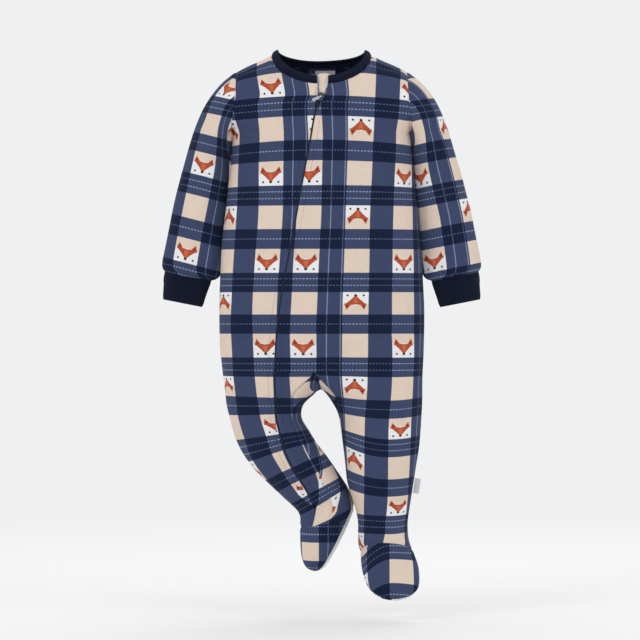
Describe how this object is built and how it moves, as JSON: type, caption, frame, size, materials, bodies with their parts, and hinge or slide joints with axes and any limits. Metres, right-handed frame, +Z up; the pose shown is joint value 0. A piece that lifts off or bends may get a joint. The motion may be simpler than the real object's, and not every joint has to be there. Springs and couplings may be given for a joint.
{
  "type": "onesie pajama",
  "caption": "Footed child's fleece onesie pajama in plaid, filled out and hollow, with a front zip from neck to ankle, long sleeves and rib cuffs and neckband.",
  "frame": {"origin": "middle of the neck opening at the height of the shoulders, where the wearer's shoulders carry the garment", "axes": "+Z up along the body, -Y towards the front with the zip, +X towards the wearer's left"},
  "size_m": [0.4212, 0.1351, 0.7211],
  "materials": {
    "plaid_fleece": "soft brushed fleece, printed plaid",
    "rib": "matt rib knit",
    "sole_cloth": "matt fleece with small grip dots",
    "zip_tape": "matt woven tape",
    "guard_fleece": "soft brushed fleece",
    "label": "smooth satin ribbon, bare",
    "size_tag": "smooth satin ribbon, bare",
    "slider_metal": "enamelled zip slider",
    "pull_metal": "small bright pull tab"
  },
  "bodies": {
    "garment": {"back": "plaid_fleece", "front_right": "plaid_fleece", "front_left": "plaid_fleece", "sleeve_right": "plaid_fleece", "sleeve_left": "plaid_fleece", "foot_top_right": "plaid_fleece", "foot_top_left": "plaid_fleece", "neckband": "rib", "cuff_right": "rib", "cuff_left": "rib", "sole_right": "sole_cloth", "sole_left": "sole_cloth", "zip_tape": "zip_tape", "zip_guard": "guard_fleece", "zip_slider": "slider_metal", "neck_label": "label", "size_tag": "size_tag", "side_label": "label"},
    "pull_tab": {"zip_pull": "pull_metal"}
  },
  "joints": [
    {"name": "pull_tab_hinge", "type": "hinge", "parent": "garment", "child": "pull_tab", "pos_m": [-0.00096, -0.05398, -0.05148], "axis": [-0.398, 0.0855, 0.9134], "range_deg": [0, 150]}
  ]
}
